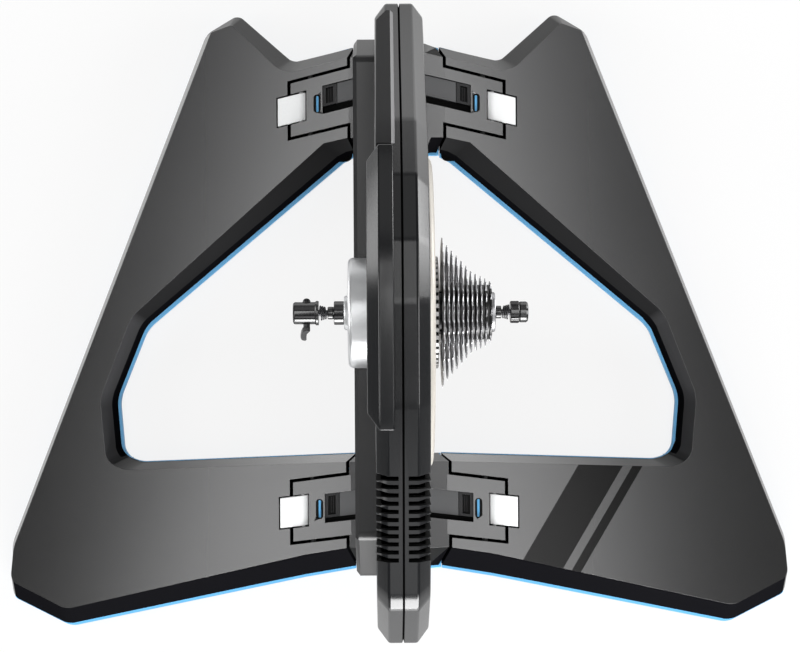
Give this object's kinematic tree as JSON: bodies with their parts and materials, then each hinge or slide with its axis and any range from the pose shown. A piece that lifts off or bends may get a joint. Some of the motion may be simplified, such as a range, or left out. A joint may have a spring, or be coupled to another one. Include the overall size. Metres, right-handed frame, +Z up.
{
  "type": "direct drive bike trainer",
  "caption": "Upright direct drive bike trainer on two folding wing shaped legs, with a cassette, rotor disc and skewer on its axle line.",
  "frame": {"origin": "On the floor under the middle of the unfolded footprint", "axes": "+X is the drive side with the cassette, +Y is the front of the bike, +Z is up"},
  "size_m": [0.75, 0.5918, 0.55],
  "materials": {
    "charcoal_deck": "satin",
    "blue_cover": "matte",
    "foot_rubber": "matte",
    "steel": "brushed",
    "bright_key": "bright",
    "slide_plastic": "satin",
    "black_frame": "satin",
    "housing": "fine grain",
    "silver_boss": "turned",
    "black_metal": "black anodised",
    "copper_coil": "coated",
    "rotor_metal": "satin",
    "board": "matte",
    "black_plastic": "matte",
    "sprocket_steel": "plated"
  },
  "bodies": {
    "base": {"lock_indicator_left_front": "blue_cover", "lock_indicator_left_rear": "blue_cover", "lock_indicator_right_front": "blue_cover", "lock_indicator_right_rear": "blue_cover", "hinge_block_front": "charcoal_deck", "base_cover_front": "blue_cover", "hinge_block_rear": "charcoal_deck", "base_cover_rear": "blue_cover", "base_spine": "black_frame", "housing_left": "housing", "housing_right": "housing", "motor_cover_left": "housing", "shield_left": "housing", "axle_boss_left": "silver_boss", "hollow_axle": "steel", "dropout_collar_left": "black_metal", "end_cap_right": "black_metal", "stator": "copper_coil", "bearing_left": "steel", "bearing_right": "steel", "control_board": "board", "power_socket": "black_plastic", "skewer_rod": "steel", "skewer_spring_left": "steel", "skewer_spring_right": "steel", "cam_cap": "black_metal"},
    "wing_left": {"wing_left_shell": "charcoal_deck", "wing_left_cover": "blue_cover", "wing_left_foot_front": "foot_rubber", "wing_left_foot_rear": "foot_rubber", "wing_left_pin_front": "steel", "wing_left_pin_rear": "steel"},
    "key_left_front": {"key_left_front": "bright_key"},
    "slide_left_front": {"lock_slide_left_front": "slide_plastic"},
    "key_left_rear": {"key_left_rear": "bright_key"},
    "slide_left_rear": {"lock_slide_left_rear": "slide_plastic"},
    "wing_right": {"wing_right_shell": "charcoal_deck", "wing_right_cover": "blue_cover", "wing_right_foot_front": "foot_rubber", "wing_right_foot_rear": "foot_rubber", "wing_right_pin_front": "steel", "wing_right_pin_rear": "steel"},
    "key_right_front": {"key_right_front": "bright_key"},
    "slide_right_front": {"lock_slide_right_front": "slide_plastic"},
    "key_right_rear": {"key_right_rear": "bright_key"},
    "slide_right_rear": {"lock_slide_right_rear": "slide_plastic"},
    "rotor": {"rotor_disc": "rotor_metal", "magnet_ring": "steel"},
    "cassette": {"sprockets_28_25_23": "sprocket_steel", "sprockets_21_19": "sprocket_steel", "sprockets_17": "sprocket_steel", "sprockets_15": "sprocket_steel", "sprockets_14": "sprocket_steel", "sprockets_13": "sprocket_steel", "sprockets_12": "sprocket_steel", "sprockets_11": "sprocket_steel", "freehub_body": "black_metal", "lockring": "sprocket_steel"},
    "lever": {"skewer_lever": "black_metal"},
    "nut": {"skewer_nut": "black_metal"}
  },
  "joints": [
    {"name": "wing_left_fold", "type": "hinge", "parent": "base", "child": "wing_left", "pos_m": [-0.081, 0, 0.0638], "axis": [0, 1, 0], "range_deg": [0, 90]},
    {"name": "key_left_front_lift", "type": "hinge", "parent": "base", "child": "key_left_front", "pos_m": [-0.09, 0, 0.06253], "axis": [0, 1, 0], "range_deg": [0, 50], "stiffness_Nm_per_rad": 0.08, "springref_deg": -17.19},
    {"name": "slide_left_front_pull", "type": "slide", "parent": "base", "child": "slide_left_front", "axis": [0.9735, 0.2288, 0], "range_m": [0, 0.006], "stiffness_N_per_m": 300, "springref_m": -0.004},
    {"name": "key_left_rear_lift", "type": "hinge", "parent": "base", "child": "key_left_rear", "pos_m": [-0.09, 0, 0.06253], "axis": [0, 1, 0], "range_deg": [0, 50], "stiffness_Nm_per_rad": 0.08, "springref_deg": -17.19},
    {"name": "slide_left_rear_pull", "type": "slide", "parent": "base", "child": "slide_left_rear", "axis": [0.9931, 0.1172, 0], "range_m": [0, 0.006], "stiffness_N_per_m": 300, "springref_m": -0.004},
    {"name": "wing_right_fold", "type": "hinge", "parent": "base", "child": "wing_right", "pos_m": [0.081, 0, 0.0638], "axis": [0, -1, 0], "range_deg": [0, 90]},
    {"name": "key_right_front_lift", "type": "hinge", "parent": "base", "child": "key_right_front", "pos_m": [0.09, 0, 0.06253], "axis": [0, -1, 0], "range_deg": [0, 50], "stiffness_Nm_per_rad": 0.08, "springref_deg": -17.19},
    {"name": "slide_right_front_pull", "type": "slide", "parent": "base", "child": "slide_right_front", "axis": [-0.9735, 0.2288, 0], "range_m": [0, 0.006], "stiffness_N_per_m": 300, "springref_m": -0.004},
    {"name": "key_right_rear_lift", "type": "hinge", "parent": "base", "child": "key_right_rear", "pos_m": [0.09, 0, 0.06253], "axis": [0, -1, 0], "range_deg": [0, 50], "stiffness_Nm_per_rad": 0.08, "springref_deg": -17.19},
    {"name": "slide_right_rear_pull", "type": "slide", "parent": "base", "child": "slide_right_rear", "axis": [-0.9931, 0.1172, 0], "range_m": [0, 0.006], "stiffness_N_per_m": 300, "springref_m": -0.004},
    {"name": "rotor_spin", "type": "hinge", "parent": "base", "child": "rotor", "pos_m": [0, 0.0035, 0.34], "axis": [1, 0, 0], "continuous": true},
    {"name": "cassette_spin", "type": "hinge", "parent": "base", "child": "cassette", "pos_m": [0.05, 0.0035, 0.34], "axis": [1, 0, 0], "continuous": true},
    {"name": "skewer_lever_turn", "type": "hinge", "parent": "base", "child": "lever", "pos_m": [-0.0735, 0.0035, 0.34], "axis": [0, 1, 0], "range_deg": [0, 180]},
    {"name": "skewer_nut_turn", "type": "hinge", "parent": "base", "child": "nut", "pos_m": [0.093, 0.0035, 0.34], "axis": [1, 0, 0], "continuous": true}
  ]
}
